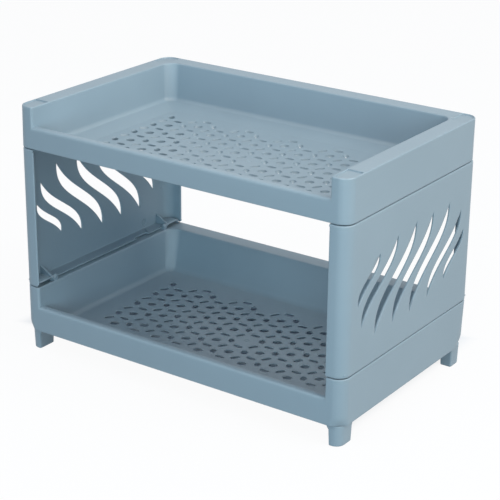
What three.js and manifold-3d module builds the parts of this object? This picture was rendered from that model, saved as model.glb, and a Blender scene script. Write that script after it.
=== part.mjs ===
// A foldable two-tier storage rack, moulded in plastic: two trays with low front lips, two slotted side
// panels that fold inwards on hinge pins, and four corner feet.
// Sizes are in millimetres. +X is the right side, +Y the back and +Z up, and the origin lies under the
// middle of the rack, on the surface that it stands on.

import * as THREE from 'three';
import { mergeVertices } from 'three/addons/utils/BufferGeometryUtils.js';
import Module from 'manifold-3d';

const wasm = await Module();
wasm.setup();

// Overall plan
const RACK_WIDTH = 400;
const RACK_DEPTH = 250;
const CORNER_RADIUS = 13;
const SIDE_WIDTH = 20; // tray side walls and side panels, outside to inside
const BACK_WIDTH = 20;
const LIP_WIDTH = 11;

// Moulded walls and edges
const WALL = 2.5;
const RIM_WALL = 3;
const RIM_ROUND = 2;
const EDGE_CHAMFER = 0.8;
const SMALL_RADIUS = 0.6;

// Heights
const FOOT_HEIGHT = 22.2;
const LOWER_TRAY_HEIGHT = 50;
const PANEL_HEIGHT = 153;
const UPPER_TRAY_HEIGHT = 44.2;
const LOWER_LIP_HEIGHT = 28;
const UPPER_LIP_HEIGHT = 23;
const LOWER_FLOOR_RISE = 3; // floor's top face over the tray's bottom edge
const UPPER_FLOOR_RISE = -0.5;

// Clearances
const SEAT_GAP = 0.3; // between pieces that rest on each other
const HINGE_GAP = 0.6; // under the folding panels
const SWING_CLEARANCE = 0.25; // over the swinging top edge of a panel
const PIN_CLEARANCE = 0.3; // all round a hinge pin
const LUG_GAP = 0.4; // between a tray's ear and a panel's gusset
const POCKET_CLEARANCE = 0.7; // all round a foot that stands in a rim pocket
const OVERCUT = 1; // how far a cutting shape runs past the face that it opens

// Tray basin
const BASIN_FILLET = 10;
const BASIN_CORNER = 14;
const BASIN_FLOOR_CORNER = 4;
const DISH_BORDER = 18; // sloped border round the flat floor
const DISH_RISE = 3;
const POST_ROUND = 5; // inner front edge of the corner posts

// Drain holes: slots in four directions on a triangular lattice
const HOLE_PITCH = 16.25;
const HOLE_LENGTH = 10.5;
const LENS_WIDTH = 6.5;
const DASH_WIDTH = 4.8;
const HOLE_MARGIN_X = 4; // plain floor between the holes and the sloped border
const HOLE_MARGIN_Y = 7.5;
const LATTICE_Y = 8.25; // the lattice's middle hole
const GATE_COLUMN = 1; // the moulding gate's place, which has no hole
const GATE_ROW = -2;
const UPRIGHT_HOLE = { degrees: 120, width: LENS_WIDTH }; // turned from +X
const LEVEL_HOLE = { degrees: 30, width: LENS_WIDTH };
const RISING_HOLE = { degrees: 60, width: DASH_WIDTH };
const FLAT_HOLE = { degrees: 0, width: DASH_WIDTH };

// Feet and the rim pockets that take the feet of a rack stacked on top
const FOOT_WIDTH = 14;
const FOOT_LENGTH = 21;
const FOOT_INSET = 3;
const FOOT_CORNER = 10;
const FOOT_TAPER = 0.8;
const SPIGOT_INSET = 2.5; // from the foot's sides
const SPIGOT_HEIGHT = 8;
const SPIGOT_CORNER = 4;
const POCKET_DEPTH = 1.5;

// Hinges: an ear on the lower tray, a gusset in the panel and a pin through both
const HINGE_RADIUS = 3.5;
const PIN_RADIUS = 1.5;
const EAR_INSET = 26.5; // from the rack's front and back faces
const EAR_WIDTH = 6;
const GUSSET_THICKNESS = 2.4;
const GUSSET_HEIGHT = 13;
const PIN_END = 0.8; // how far a pin stands out of its gusset
const PIN_RECESS = 0.3; // how far its other end lies inside the ear
const RELIEF_WIDTH = 6; // opening in the panel's bottom over each rim pocket
const RELIEF_END = 5; // from the panel's end to that opening

// Panel top, which swings under the upper tray
const TOP_CHAMFER = 1.5;
const PAD_WIDTH = 3;
const PAD_LENGTH = 120;
const RIB_PITCH = 50;
const RIB_THICKNESS = 2;
const RIB_HEIGHT = 18;

// Panel slots: middle, half size and width of four of the seven, and the rest are their half turns
const SLOTS = [
  { middle: [-83.3, 13.2], half: [18.7, 20.6], width: 13 },
  { middle: [-63.3, 5.7], half: [31.9, 36.4], width: 16.5 },
  { middle: [-33, 0], half: [36.7, 45.7], width: 19.5 },
  { middle: [0, 0], half: [36.7, 45.7], width: 19.5 },
];
const SLOT_SWAY = 0.62; // 0 is a straight slot, 1 stands upright at both tips

// Facets
const SLOT_STEPS = 8;
const ARC_STEPS = 4;
const FILLET_STEPS = 3;
const CURVE_STEPS = 6;
const PIN_SIDES = 12;

const COLOUR = 0x8fa5b3;
const ROUGHNESS = 0.5;

// Places worked out from the sizes
const halfWidth = RACK_WIDTH / 2;
const halfDepth = RACK_DEPTH / 2;
const innerX = halfWidth - SIDE_WIDTH;
const lowerBottom = FOOT_HEIGHT + SEAT_GAP;
const lowerRim = lowerBottom + LOWER_TRAY_HEIGHT;
const panelBottom = lowerRim + HINGE_GAP;
const panelTop = panelBottom + PANEL_HEIGHT;
const hingeX = innerX + HINGE_RADIUS;
const hingeZ = panelBottom + HINGE_RADIUS;
const swingHeight = panelTop - hingeZ;
const swingRise = Math.hypot(halfWidth - TOP_CHAMFER - hingeX, swingHeight) - swingHeight;
const upperBottom = panelTop + swingRise + SWING_CLEARANCE;
const upperRim = upperBottom + UPPER_TRAY_HEIGHT;
const earEnd = halfDepth - EAR_INSET;
const earStart = earEnd - EAR_WIDTH;
const gussetStart = earEnd + LUG_GAP;
const gussetEnd = gussetStart + GUSSET_THICKNESS;

// Shape helpers

/** Outline of a rectangle with rounded corners, anticlockwise from its +X +Y corner. */
function roundedOutline(x0, x1, y0, y1, radii) {
  const corners = [[x1, y1, -1, -1], [x0, y1, 1, -1], [x0, y0, 1, 1], [x1, y0, -1, 1]];
  return corners.flatMap(([x, y, inX, inY], corner) => {
    const radius = radii[corner];
    const points = [];
    for (let step = 0; step <= ARC_STEPS; step++) {
      const angle = (corner + step / ARC_STEPS) * Math.PI / 2;
      const px = x + radius * (inX + Math.cos(angle));
      const py = y + radius * (inY + Math.sin(angle));
      points.push(new THREE.Vector2(px, py));
    }
    return points;
  });
}

/** The same radius at all four corners. */
const evenly = (radius) => [radius, radius, radius, radius];

/** Closed skin through stacked levels, whose outlines have the same number of points. */
function loft(levels) {
  const count = levels[0].outline.length;
  const last = (levels.length - 1) * count;
  const positions = levels.flatMap(({ outline, z }) => outline.flatMap((point) => [point.x, point.y, z]));
  const index = [];
  for (let ring = 0; ring < last; ring += count) {
    for (let i = 0; i < count; i++) {
      const a = ring + i;
      const b = ring + (i + 1) % count;
      index.push(a, b, b + count, a, b + count, a + count);
    }
  }
  for (const [a, b, c] of THREE.ShapeUtils.triangulateShape(levels[0].outline, [])) {
    index.push(a, c, b);
  }
  for (const [a, b, c] of THREE.ShapeUtils.triangulateShape(levels.at(-1).outline, [])) {
    index.push(last + a, last + b, last + c);
  }
  const geometry = new THREE.BufferGeometry();
  geometry.setAttribute('position', new THREE.Float32BufferAttribute(positions, 3));
  geometry.setIndex(index);
  return solid(geometry);
}

/** Shape or list of shapes drawn in XY and extruded upwards by a length. */
function extrusion(shapes, depth) {
  return new THREE.ExtrudeGeometry(shapes, { depth, bevelEnabled: false, curveSegments: CURVE_STEPS });
}

/** Shapes drawn in XY and extruded from one height to another. */
function prismZ(shapes, z0, z1) {
  const geometry = extrusion(shapes, z1 - z0);
  return solid(geometry.translate(0, 0, z0));
}

/** Shapes drawn in YZ and extruded along X. */
function prismX(shapes, x0, x1) {
  const geometry = extrusion(shapes, x1 - x0);
  const turn = new THREE.Matrix4().makeBasis(
    new THREE.Vector3(0, 1, 0), new THREE.Vector3(0, 0, 1), new THREE.Vector3(1, 0, 0));
  return solid(geometry.applyMatrix4(turn).translate(x0, 0, 0));
}

/** Shapes drawn in XZ and extruded along Y. */
function prismY(shapes, y0, y1) {
  const geometry = extrusion(shapes, y1 - y0);
  const turn = new THREE.Matrix4().makeBasis(
    new THREE.Vector3(1, 0, 0), new THREE.Vector3(0, 0, 1), new THREE.Vector3(0, -1, 0));
  return solid(geometry.applyMatrix4(turn).translate(0, y1, 0));
}

/** Box between two corners. */
function block(x0, x1, y0, y1, z0, z1) {
  const geometry = new THREE.BoxGeometry(x1 - x0, y1 - y0, z1 - z0);
  return solid(geometry.translate((x0 + x1) / 2, (y0 + y1) / 2, (z0 + z1) / 2));
}

/** Solid of a closed geometry, for joining and cutting. */
function solid(geometry) {
  geometry.deleteAttribute('normal');
  geometry.deleteAttribute('uv');
  const merged = mergeVertices(geometry);
  const mesh = new wasm.Mesh({
    numProp: 3,
    vertProperties: new Float32Array(merged.attributes.position.array),
    triVerts: new Uint32Array(merged.index.array),
  });
  return new wasm.Manifold(mesh);
}

/** Named mesh of a finished solid, with a material of its own. */
function piece(name, body) {
  const { vertProperties, triVerts } = body.getMesh();
  const geometry = new THREE.BufferGeometry();
  geometry.setAttribute('position', new THREE.BufferAttribute(vertProperties, 3));
  geometry.setIndex(new THREE.BufferAttribute(triVerts, 1));
  geometry.computeVertexNormals();
  const material = new THREE.MeshStandardMaterial({ color: COLOUR, roughness: ROUGHNESS, metalness: 0 });
  const mesh = new THREE.Mesh(geometry, material);
  mesh.name = name;
  return mesh;
}

// Trays

/** Basin outline drawn in from the walls' inner faces. */
function basinLevel(inset, z) {
  const radius = Math.max(BASIN_CORNER - inset, BASIN_FLOOR_CORNER);
  const outline = roundedOutline(
    -innerX + inset, innerX - inset,
    -halfDepth + LIP_WIDTH + inset, halfDepth - BACK_WIDTH - inset, evenly(radius));
  return { outline, z };
}

/** Levels of the basin from its flat floor over the dished border and the fillet to the upright walls. */
function basinLevels(floorTop, offset) {
  const levels = [basinLevel(BASIN_FILLET + DISH_BORDER, floorTop - offset)];
  const reach = BASIN_FILLET + offset;
  for (let step = 0; step <= FILLET_STEPS; step++) {
    const angle = step / FILLET_STEPS * Math.PI / 2;
    const inset = BASIN_FILLET - reach * Math.sin(angle);
    levels.push(basinLevel(inset, floorTop + DISH_RISE + BASIN_FILLET - reach * Math.cos(angle)));
  }
  return levels;
}

/** Outer block of a tray, with its rim rounded and its bottom edge chamfered. */
function trayBlock(bottom, rim) {
  const level = (inset, z) => {
    const x = halfWidth - inset;
    const y = halfDepth - inset;
    return { outline: roundedOutline(-x, x, -y, y, evenly(CORNER_RADIUS - inset)), z };
  };
  const half = RIM_ROUND * (1 - Math.SQRT1_2);
  return loft([
    level(EDGE_CHAMFER, bottom), level(0, bottom + EDGE_CHAMFER), level(0, rim - RIM_ROUND),
    level(half, rim - half), level(RIM_ROUND, rim),
  ]);
}

/** Opening over the front lip: round along the lip's top, and flared past the rounded posts. */
function frontOpening(rim, lipTop) {
  const beadRadius = LIP_WIDTH / 2;
  const front = -halfDepth - OVERCUT;
  const back = -halfDepth + LIP_WIDTH + BASIN_CORNER;
  const bead = new THREE.Shape();
  bead.moveTo(front, lipTop - beadRadius);
  bead.absarc(-halfDepth + beadRadius, lipTop - beadRadius, beadRadius, Math.PI, 0, true);
  bead.lineTo(back, lipTop - beadRadius);
  bead.lineTo(back, rim + OVERCUT);
  bead.lineTo(front, rim + OVERCUT);
  const flare = new THREE.Shape();
  const roundY = -halfDepth + POST_ROUND;
  flare.moveTo(-innerX - POST_ROUND, front);
  flare.lineTo(innerX + POST_ROUND, front);
  flare.lineTo(innerX + POST_ROUND, -halfDepth);
  flare.absarc(innerX + POST_ROUND, roundY, POST_ROUND, -Math.PI / 2, -Math.PI, true);
  flare.lineTo(innerX, back);
  flare.lineTo(-innerX, back);
  flare.absarc(-innerX - POST_ROUND, roundY, POST_ROUND, 0, -Math.PI / 2, true);
  const across = prismX(bead, -halfWidth, halfWidth);
  return across.intersect(prismZ(flare, lipTop - LIP_WIDTH, rim + 2 * OVERCUT));
}

/** Hollow under the rim, the walls and the lip, open below. */
function trayHollow(bottom, rim, lipTop, floorTop) {
  const x = halfWidth - WALL;
  const y = halfDepth - WALL;
  const outline = roundedOutline(-x, x, -y, y, evenly(CORNER_RADIUS - WALL));
  const inside = loft([{ outline, z: floorTop - DISH_BORDER }, { outline, z: rim - RIM_WALL }]);
  const shell = loft([...basinLevels(floorTop, WALL), basinLevel(-WALL, rim)]);
  const lip = block(
    -innerX - WALL, innerX + WALL, -halfDepth, -halfDepth + LIP_WIDTH + BASIN_CORNER, lipTop - RIM_WALL, rim);
  return inside.subtract(shell).subtract(lip);
}

/** Six-sided slot, turned to an angle from +X. */
function holeShape(x, y, { degrees, width }) {
  const turn = degrees * Math.PI / 180;
  const middle = new THREE.Vector2(x, y);
  const tip = HOLE_LENGTH / 2;
  const shoulder = HOLE_LENGTH / 4;
  const side = width / 2;
  const corners = [
    [tip, 0], [shoulder, side], [-shoulder, side], [-tip, 0], [-shoulder, -side], [shoulder, -side],
  ];
  const origin = new THREE.Vector2();
  const place = ([a, b]) => new THREE.Vector2(a, b).rotateAround(origin, turn).add(middle);
  return new THREE.Shape(corners.map(place));
}

/** Kind of hole in a column and row: upright and rising slots alternate, then level and flat ones. */
function holeKind(column, row) {
  const odd = Math.abs(column % 2);
  const even = ((column - odd) / 2 + row) % 2 === 0;
  if (odd) {
    return even ? LEVEL_HOLE : FLAT_HOLE;
  }
  return even ? UPRIGHT_HOLE : RISING_HOLE;
}

/** All drain holes that lie inside the flat floor's margins. */
function drainHoles(floorTop) {
  const border = BASIN_FILLET + DISH_BORDER;
  const reachX = innerX - border - HOLE_MARGIN_X;
  const backY = halfDepth - BACK_WIDTH - border - HOLE_MARGIN_Y;
  const frontY = -halfDepth + LIP_WIDTH + border + HOLE_MARGIN_Y;
  const columnPitch = HOLE_PITCH * Math.sqrt(3) / 2;
  const columns = Math.ceil(reachX / columnPitch);
  const rows = Math.ceil(RACK_DEPTH / HOLE_PITCH / 2);
  const shapes = [];
  for (let column = -columns; column <= columns; column++) {
    for (let row = -rows; row <= rows; row++) {
      const y = LATTICE_Y + HOLE_PITCH * (row + Math.abs(column % 2) / 2);
      const shape = holeShape(column * columnPitch, y, holeKind(column, row));
      const inside = shape.getPoints().every((p) => Math.abs(p.x) < reachX && p.y > frontY && p.y < backY);
      const gate = column === GATE_COLUMN && row === GATE_ROW;
      if (inside && !gate) {
        shapes.push(shape);
      }
    }
  }
  return prismZ(shapes, floorTop - WALL - OVERCUT, floorTop + OVERCUT);
}

/** Plan of a foot at the corner with the given signs, grown by a margin. */
function footOutline(signX, signY, grow) {
  const spanX = [halfWidth - FOOT_INSET - FOOT_WIDTH - grow, halfWidth - FOOT_INSET + grow];
  const spanY = [halfDepth - FOOT_INSET - FOOT_LENGTH - grow, halfDepth - FOOT_INSET + grow];
  const [x0, x1] = spanX.map((x) => x * signX).sort((a, b) => a - b);
  const [y0, y1] = spanY.map((y) => y * signY).sort((a, b) => a - b);
  const radii = [[1, 1], [-1, 1], [-1, -1], [1, -1]].map(([cornerX, cornerY]) =>
    cornerX === signX && cornerY === signY ? FOOT_CORNER + grow : 2 * FOOT_TAPER);
  return roundedOutline(x0, x1, y0, y1, radii);
}

/** One tray between its bottom edge and its rim. */
function tray(bottom, rim, lipHeight, floorRise) {
  const lipTop = bottom + lipHeight;
  const floorTop = bottom + floorRise;
  const half = RIM_ROUND * (1 - Math.SQRT1_2);
  const basin = loft([
    ...basinLevels(floorTop, 0), basinLevel(0, rim - RIM_ROUND), basinLevel(-half, rim - half),
    basinLevel(-RIM_ROUND, rim), basinLevel(-RIM_ROUND, rim + OVERCUT),
  ]);
  const dish = loft(basinLevels(floorTop, WALL));
  let body = trayBlock(bottom, rim).add(dish);
  body = body.subtract(trayHollow(bottom, rim, lipTop, floorTop)).subtract(basin);
  body = body.subtract(frontOpening(rim, lipTop)).subtract(drainHoles(floorTop));
  for (const [signX, signY] of CORNERS) {
    const outline = footOutline(signX, signY, POCKET_CLEARANCE);
    body = body.subtract(loft([{ outline, z: rim - POCKET_DEPTH }, { outline, z: rim + OVERCUT }]));
  }
  return body;
}

/** Lower tray, with a hinge ear past the end of each rim pocket. */
function lowerTray() {
  let body = tray(lowerBottom, lowerRim, LOWER_LIP_HEIGHT, LOWER_FLOOR_RISE);
  const base = lowerRim - RIM_WALL / 2;
  for (const [signX, signY] of CORNERS) {
    const x = signX * hingeX;
    const ear = new THREE.Shape();
    ear.moveTo(x - HINGE_RADIUS, base);
    ear.lineTo(x + HINGE_RADIUS, base);
    ear.absarc(x, hingeZ, HINGE_RADIUS, 0, Math.PI, false);
    const bore = new THREE.Path();
    bore.absarc(x, hingeZ, PIN_RADIUS + PIN_CLEARANCE, 0, 2 * Math.PI, true);
    ear.holes.push(bore);
    const [y0, y1] = [earStart * signY, earEnd * signY].sort((a, b) => a - b);
    body = body.add(prismY(ear, y0, y1));
  }
  return body;
}

/** Upper tray, with ribs in its hollow side walls that rest on the panels' pads. */
function upperTray() {
  let body = tray(upperBottom, upperRim, UPPER_LIP_HEIGHT, UPPER_FLOOR_RISE);
  for (const side of [-1, 1]) {
    for (const place of [-1, 0, 1]) {
      const [x0, x1] = [side * innerX, side * (halfWidth - WALL / 2)].sort((a, b) => a - b);
      const y = place * RIB_PITCH;
      const ribTop = upperBottom + RIB_HEIGHT;
      body = body.add(block(x0, x1, y - RIB_THICKNESS / 2, y + RIB_THICKNESS / 2, upperBottom, ribTop));
    }
  }
  return body;
}

// Side panels

/** Plan of the right panel, drawn in from its outer faces. */
function panelOutline(inset, innerEdge) {
  const y = halfDepth - inset;
  const radius = CORNER_RADIUS - inset;
  return roundedOutline(innerEdge, halfWidth - inset, -y, y, [radius, SMALL_RADIUS, SMALL_RADIUS, radius]);
}

/** Flame-shaped slot: an S from its lower tip to its upper one, widest half way up. */
function slotShape({ middle: [y, z], half: [reachY, reachZ], width }, turn) {
  const edge = (side) => {
    const points = [];
    for (let step = 0; step < SLOT_STEPS; step++) {
      const along = step / SLOT_STEPS;
      const sway = along - SLOT_SWAY * Math.sin(2 * Math.PI * along) / (2 * Math.PI);
      const bulge = side * width / 2 * Math.sin(Math.PI * along);
      points.push([y + reachY * (2 * sway - 1) + bulge, z + reachZ * (2 * along - 1)]);
    }
    return points;
  };
  const rising = edge(1);
  const tip = [y + reachY, z + reachZ];
  const falling = edge(-1).slice(1).reverse();
  const panelMiddle = (panelBottom + panelTop) / 2;
  const outline = [...rising, tip, ...falling];
  return new THREE.Shape(outline.map(([a, b]) => new THREE.Vector2(turn * a, panelMiddle + turn * b)));
}

/** The right panel: an open box with a hinge edge, gussets, slots and pads for the upper tray. */
function sidePanel() {
  const level = (inset, z) => ({ outline: panelOutline(inset, innerX), z });
  let body = loft([
    level(EDGE_CHAMFER, panelBottom), level(0, panelBottom + EDGE_CHAMFER),
    level(0, panelTop - TOP_CHAMFER), level(TOP_CHAMFER, panelTop),
  ]);
  const outline = panelOutline(WALL, innerX - WALL);
  body = body.subtract(loft([{ outline, z: panelBottom + WALL }, { outline, z: panelTop - WALL }]));

  const spare = new THREE.Shape();
  spare.moveTo(hingeX - HINGE_RADIUS, hingeZ);
  spare.absarc(hingeX, hingeZ, HINGE_RADIUS, Math.PI, 1.5 * Math.PI, false);
  spare.lineTo(hingeX, panelBottom - OVERCUT);
  spare.lineTo(innerX - OVERCUT, panelBottom - OVERCUT);
  spare.lineTo(innerX - OVERCUT, hingeZ);
  body = body.subtract(prismY(spare, -halfDepth - OVERCUT, halfDepth + OVERCUT));

  const slots = SLOTS.map((slot) => slotShape(slot, 1));
  slots.push(...SLOTS.slice(0, -1).map((slot) => slotShape(slot, -1)));
  body = body.subtract(prismX(slots, halfWidth - WALL - OVERCUT, halfWidth + OVERCUT));

  const notchX = hingeX + HINGE_RADIUS + 2 * HINGE_GAP;
  const flangeTop = panelBottom + WALL + HINGE_GAP;
  const skinX = halfWidth - WALL / 2;
  for (const sign of [-1, 1]) {
    const span = (a, b) => [a * sign, b * sign].sort((p, q) => p - q);
    const notch = span(earStart - LUG_GAP, gussetStart);
    body = body.subtract(block(innerX - OVERCUT, notchX, ...notch, panelBottom - OVERCUT, flangeTop));
    const relief = span(gussetEnd, halfDepth - RELIEF_END);
    const reliefX = innerX + RELIEF_WIDTH;
    body = body.subtract(block(innerX - OVERCUT, reliefX, ...relief, panelBottom - OVERCUT, flangeTop));

    const gusset = new THREE.Shape();
    gusset.moveTo(hingeX, panelBottom);
    gusset.lineTo(skinX, panelBottom + EDGE_CHAMFER);
    gusset.lineTo(skinX, panelBottom + GUSSET_HEIGHT);
    gusset.absarc(hingeX, hingeZ, HINGE_RADIUS, 0.75 * Math.PI, 1.5 * Math.PI, false);
    const eye = new THREE.Path();
    eye.absarc(hingeX, hingeZ, PIN_RADIUS + PIN_CLEARANCE, 0, 2 * Math.PI, true);
    gusset.holes.push(eye);
    const bore = new THREE.Shape(eye.getPoints(CURVE_STEPS));
    body = body.subtract(prismY(bore, ...span(gussetStart, gussetEnd)));
    body = body.add(prismY(gusset, ...span(gussetStart, gussetEnd)));
  }
  const padTop = upperBottom - SEAT_GAP;
  const padEnd = PAD_LENGTH / 2;
  return body.add(block(innerX, innerX + PAD_WIDTH, -padEnd, padEnd, panelTop - WALL / 2, padTop));
}

// Feet and pins

const CORNERS = [[-1, -1], [1, -1], [-1, 1], [1, 1]];
const cornerName = ([signX, signY]) => `${signY < 0 ? 'front' : 'back'}_${signX < 0 ? 'left' : 'right'}`;

/** Corner foot: a tapered block with a spigot that pushes up into the tray's hollow corner. */
function foot(signX, signY) {
  const body = loft([
    { outline: footOutline(signX, signY, -FOOT_TAPER), z: 0 },
    { outline: footOutline(signX, signY, -FOOT_TAPER / 2), z: FOOT_TAPER },
    { outline: footOutline(signX, signY, 0), z: FOOT_HEIGHT },
  ]);
  const inset = FOOT_INSET + SPIGOT_INSET;
  const spanX = [halfWidth - FOOT_INSET - FOOT_WIDTH + SPIGOT_INSET, halfWidth - inset];
  const spanY = [halfDepth - FOOT_INSET - FOOT_LENGTH + SPIGOT_INSET, halfDepth - inset];
  const [x0, x1] = spanX.map((x) => x * signX).sort((a, b) => a - b);
  const [y0, y1] = spanY.map((y) => y * signY).sort((a, b) => a - b);
  const outline = roundedOutline(x0, x1, y0, y1, evenly(SPIGOT_CORNER));
  const spigotTop = FOOT_HEIGHT + SPIGOT_HEIGHT;
  return body.add(loft([{ outline, z: FOOT_HEIGHT - FOOT_TAPER }, { outline, z: spigotTop }]));
}

/** Hinge pin along Y, from inside its ear to just past its gusset. */
function hingePin(signX, signY) {
  const start = earStart + PIN_RECESS;
  const length = gussetEnd + PIN_END - start;
  const geometry = new THREE.CylinderGeometry(PIN_RADIUS, PIN_RADIUS, length, PIN_SIDES);
  return solid(geometry.translate(signX * hingeX, signY * (start + length / 2), hingeZ));
}

const rack = new THREE.Group();
rack.add(piece('lower_tray', lowerTray()));
rack.add(piece('upper_tray', upperTray()));
rack.add(piece('right_panel', sidePanel()));
const leftPanel = piece('left_panel', sidePanel());
leftPanel.rotation.z = Math.PI;
rack.add(leftPanel);
for (const corner of CORNERS) {
  rack.add(piece(`${cornerName(corner)}_foot`, foot(...corner)));
  rack.add(piece(`${cornerName(corner)}_hinge_pin`, hingePin(...corner)));
}

export default rack;
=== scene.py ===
"""A foldable two-tier storage rack, moulded in polypropylene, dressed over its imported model.

Shapes are worked out in millimetres and become metres when a mesh is made. +X is the rack's right side,
+Y its back and +Z up, and the origin lies under the rack's middle, on the surface that it stands on.
"""

import bmesh
import bpy
import numpy as np
from mathutils import Matrix


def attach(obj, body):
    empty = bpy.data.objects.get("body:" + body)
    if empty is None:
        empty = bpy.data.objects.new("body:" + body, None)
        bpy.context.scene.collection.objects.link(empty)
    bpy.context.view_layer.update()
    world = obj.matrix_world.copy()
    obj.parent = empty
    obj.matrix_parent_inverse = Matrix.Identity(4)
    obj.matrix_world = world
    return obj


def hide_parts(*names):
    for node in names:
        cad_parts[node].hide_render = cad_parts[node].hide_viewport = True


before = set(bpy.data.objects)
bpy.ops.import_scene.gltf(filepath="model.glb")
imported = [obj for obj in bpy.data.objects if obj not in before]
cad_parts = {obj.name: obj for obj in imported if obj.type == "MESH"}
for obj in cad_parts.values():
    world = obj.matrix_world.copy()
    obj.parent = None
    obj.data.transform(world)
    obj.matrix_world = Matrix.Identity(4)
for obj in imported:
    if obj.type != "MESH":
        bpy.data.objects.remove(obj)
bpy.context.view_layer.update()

# Plan of the rack
HALF_WIDTH, HALF_DEPTH = 200.0, 125.0
INNER_X = 180.0        # inner faces of the side walls and panels
LIP_Y = -114.0         # inner face of the front lip
BACK_Y = 105.0         # inner face of the back wall
CORNER = 13.0          # outer upright corners
BASIN_CORNER = 14.0
POST_ROUND = 3.0       # inner front edge of the corner posts
POST_FLAT = HALF_WIDTH - CORNER - INNER_X - POST_ROUND
WALL = 2.5

# Heights and forms of the trays. plate is the floor's thickness at its edge and in its middle, hole_flare
# the growth of drain holes towards the underside (at the left end, upright ones and others), hole_edge the
# shares of the thickness where a hole's rounded edge turns down, and lean how far side and back walls lean
LOWER = {
    "bottom": 22.5, "rim": 72.5, "lip": 50.5, "floor": 26.4, "sag": 2.3, "slope": 1 / 24, "skin": 2.4,
    "plate": (2.4, 2.4), "hole_flare": (.9, .9, .9), "hole_edge": (.1, .3),
    "lean": (9.0, 18.0), "draft": 0.0, "tuck": 2.8}
UPPER = {
    "bottom": 227.1, "rim": 271.3, "lip": 250.1, "floor": 225.5, "sag": 1.9, "slope": 1 / 6, "skin": 1.6,
    "plate": (2.4, 2.6), "hole_flare": (.2, -1.9, -.9), "hole_edge": (.12, .45),
    "lean": (4.5, 7.5), "draft": .0025, "tuck": 0.0}
PANEL_BOTTOM, PANEL_TOP = 73.6, 226.1
HINGE_X, HINGE_Z, HINGE_RADIUS = 183.5, 76.6, 3.5
EYE_RADIUS = 2.2       # of the ears and eyes round the hinge pins
FOOT_TOP = 22.2
PIN_BORE, PIN_RADIUS, PIN_CHAMFER = 1.8, 1.5, .4
PIN_Y = (92.8, 102.1)
EAR_Y = (92.5, 98.5)
EAR_SINK = 1.5         # of an ear's base in the rim
GUSSET_Y = (98.9, 101.3)
GUSSET_HEIGHT = 13.0

# Tray details
RIM_ROUND = 1.2
CEILING = 3.0          # thickness of the rim over the hollow walls
BEAD = 5.5             # radius of the rounded lip
BEAD_POWER = .55       # fills out the front half of the lip's section
FLAT_INSET = 30.0      # from the walls to the flat floor
SLOPE_INSET = 28.0     # from the walls to where the floor's sloped border starts
FILLET = 5.0
FRONT_CORNER = 8.0     # the basin's front corners
LEAST_CORNER = 4.0     # the basin's corners at the flat floor
SAG_POWER = 6
LEAN_RUN = 30.0        # behind the lip, where the side walls take up their lean
BOTTOM_ROUND = .6
RIB_Y, RIB_HALF, RIB_HEIGHT = (-50, 0, 50), 1.0, 18.0
TUCK_HEIGHT = 11.0     # from here down a tray's outer corners come in by its tuck
POCKET_END = 97.6      # a pocket's straight edge, from the rack's middle
POCKET = {"middle": (190.0, 110.7), "half": (8.8, 13.1), "corner": 11.8, "depth": 1.3, "edge": .2}

# Drain holes
PITCH = 16.25
COLUMN = PITCH * np.sqrt(3) / 2
LATTICE_Y = 8.25
COLUMNS, ROWS = np.arange(-10, 11), np.arange(-5, 4)
CELL_POINTS = 16       # round each hole and its cell
HOLE_ROUND = 0.7
# Kinds of holes: turn in degrees, half length, half width and power, which is less for a blunt dash
HOLES = np.array([(60, 5.25, 2.4, .72), (120, 4.85, 3.25, 1), (0, 5.25, 2.4, .72), (30, 4.65, 4.1, 1)])
RISING, UPRIGHT, LEVEL = 0, 1, 3
STRAIGHT_WAY, STRAIGHT_LIMIT = (.82, .57), -71.0   # a slanted line, left of which holes go straight through
GATE = (1, -2)         # column and row of the moulding gate, where there is no hole
GATE_MARK = ((4, 0), (3.4, 0), (3, -.3), (1.6, -.3), (1.2, 0), (.6, .1))   # radius and lift of its rings


# Mesh helpers

def quads(rows, columns, closed=False):
    """Quad corners of a grid of points in row order; a closed grid joins its last column to its first."""
    index = np.arange(rows * columns).reshape(rows, columns)
    if closed:
        index = np.concatenate([index, index[:, :1]], axis=1)
    corners = [index[:-1, :-1], index[:-1, 1:], index[1:, 1:], index[1:, :-1]]
    return np.stack(corners, axis=-1).reshape(-1, 4)


def patch(points, closed=False, flip=False):
    """Surface through a grid of points (rows, columns, 3); its faces look along column step x row step."""
    rows, columns = points.shape[:2]
    faces = quads(rows, columns, closed)
    return points.reshape(-1, 3), faces[:, ::-1] if flip else faces


def lid(loop, flip=False):
    """One flat face over a closed loop of points."""
    face = np.arange(len(loop))[None]
    return loop, face[:, ::-1] if flip else face


def at_height(plan, z):
    """Plan points (n, 2) lifted to a height, which may differ from point to point."""
    return np.column_stack([plan, np.broadcast_to(z, len(plan))])


def loft(rings, flip=False):
    """Surface through closed rings of the same number of points."""
    return patch(np.stack(rings), closed=True, flip=flip)


def zipper(inner, outer, flip=False):
    """Flat band between two closed loops with different numbers of points: both are walked by their angle
    round the middle, and each step of either one makes a triangle with the last point of the other."""
    middle = (inner.max(0) + inner.min(0)) / 2
    reach = np.ptp(inner, axis=0)[:2]

    def walk(loop):
        away = (loop - middle)[:, :2] / reach
        angle = np.arctan2(away[:, 1], away[:, 0])
        order = np.argsort(angle, kind="stable")
        return np.append(order, order[0]), np.append(angle[order], angle[order[0]] + 2 * np.pi)

    a, ta = walk(inner)
    b, tb = walk(outer)
    b = b + len(inner)
    steps = np.concatenate([(ta[1:] + ta[:-1]) / 2, (tb[1:] + tb[:-1]) / 2])
    order = np.argsort(steps, kind="stable")
    on_inner = order < len(ta) - 1
    done_a, done_b = np.cumsum(on_inner), np.cumsum(~on_inner)
    before_a, before_b = done_a - on_inner, done_b - ~on_inner
    third = np.where(on_inner, a[done_a], b[done_b])
    faces = np.stack([a[before_a], b[before_b], third], axis=1)
    return np.concatenate([inner, outer]), faces[:, ::-1] if flip else faces


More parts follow.
